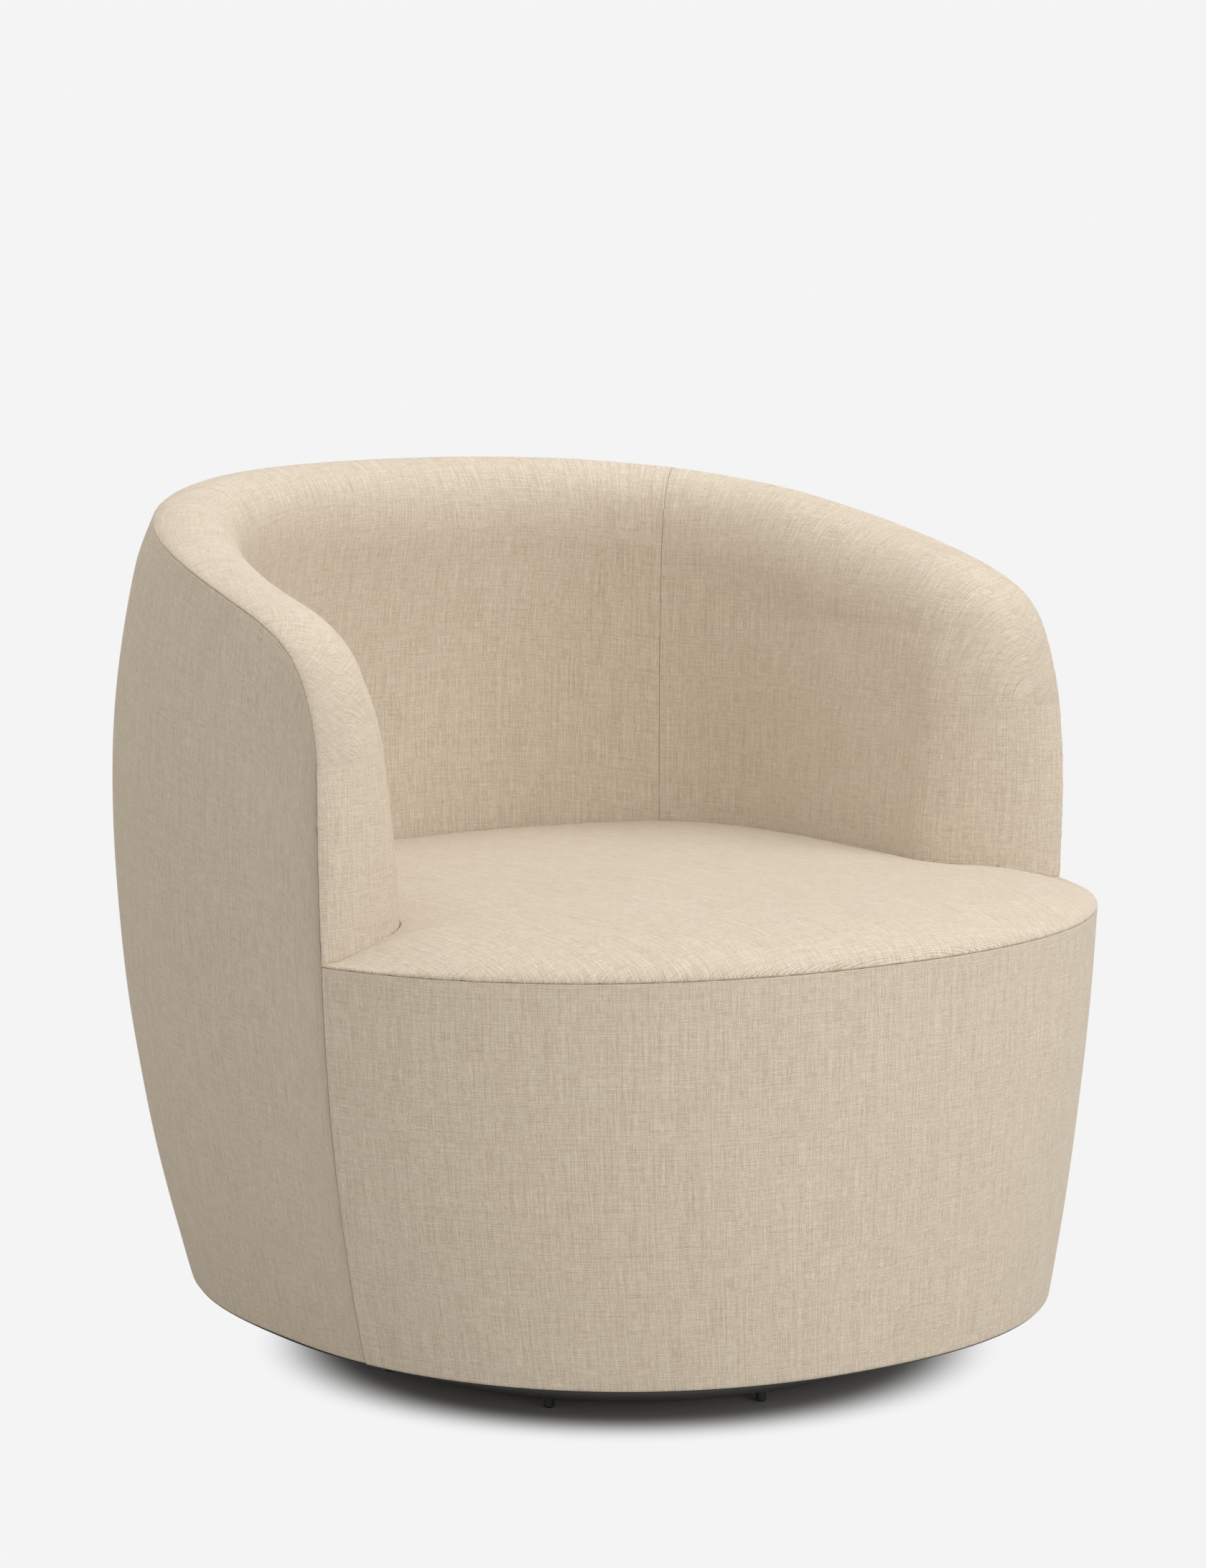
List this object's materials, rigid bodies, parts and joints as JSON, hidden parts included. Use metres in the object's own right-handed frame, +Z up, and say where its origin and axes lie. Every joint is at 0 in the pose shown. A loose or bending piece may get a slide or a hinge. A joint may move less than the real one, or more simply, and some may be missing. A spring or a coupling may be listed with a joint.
{
  "type": "swivel barrel chair",
  "caption": "Upholstered barrel armchair with a wrap-round padded back and arms and a tight round seat, turning on a low round steel swivel base.",
  "frame": {"origin": "on the floor, on the swivel axis, below the centre of the round base", "axes": "+Z up along the swivel axis; the sitter faces -Y; +X is to the right when looking along +Y"},
  "size_m": [0.84, 0.8583, 0.7852],
  "materials": {
    "cover_fabric": "matte woven upholstery, cream with fine slubs",
    "base_paint": "satin dark grey powder coat",
    "glide_plastic": "matte black",
    "bearing_steel": "zinc plated",
    "ball_steel": "polished",
    "brass": "satin",
    "plywood": "sanded birch plywood",
    "timber": "planed, unfinished",
    "dust_cloth": "black non-woven cloth",
    "tack_steel": "dark zinc",
    "webbing": "woven elastic webbing",
    "felt": "grey felt",
    "foam": "upholstery foam",
    "wadding": "polyester wadding"
  },
  "bodies": {
    "base": {"base_dish": "base_paint", "floor_glides": "glide_plastic", "lower_race": "bearing_steel", "race_rivets": "bearing_steel", "centre_pin": "bearing_steel", "pin_rivets": "bearing_steel", "pin_washer": "bearing_steel", "pin_nut": "bearing_steel"},
    "ball_row": {"bearing_balls": "ball_steel", "ball_cage": "brass"},
    "seat": {"upper_race": "bearing_steel", "swivel_plate": "base_paint", "pin_bush": "brass", "plate_bolts": "bearing_steel", "plate_washers": "bearing_steel", "plate_nuts": "bearing_steel", "bottom_board": "plywood", "dust_cover": "dust_cloth", "cover_tacks": "tack_steel", "front_ribs": "timber", "side_ribs": "timber", "rear_ribs": "timber", "board_screws": "tack_steel", "seat_ring": "plywood", "ring_screws": "tack_steel", "arm_posts": "timber", "arm_ribs": "timber", "back_ribs": "timber", "rib_screws": "tack_steel", "top_rail": "timber", "webbing_lengthwise": "webbing", "webbing_crosswise": "webbing", "seat_felt": "felt", "seat_foam": "foam", "seat_wadding": "wadding", "seat_cover": "cover_fabric", "front_foam": "foam", "front_cover": "cover_fabric", "outer_cover": "cover_fabric", "arm_foam_left": "foam", "arm_foam_right": "foam", "arm_cover_left": "cover_fabric", "arm_cover_right": "cover_fabric", "back_foam": "foam", "back_cover": "cover_fabric"}
  },
  "joints": [
    {"name": "swivel", "type": "hinge", "parent": "base", "child": "seat", "pos_m": [0, 0, 0], "axis": [0, 0, 1], "continuous": true},
    {"name": "ball_roll", "type": "hinge", "parent": "base", "child": "ball_row", "pos_m": [0, 0, 0], "axis": [0, 0, 1], "continuous": true}
  ],
  "couplings": [
    {"joint": "ball_roll", "follows": "swivel", "ratio": 0.5}
  ]
}
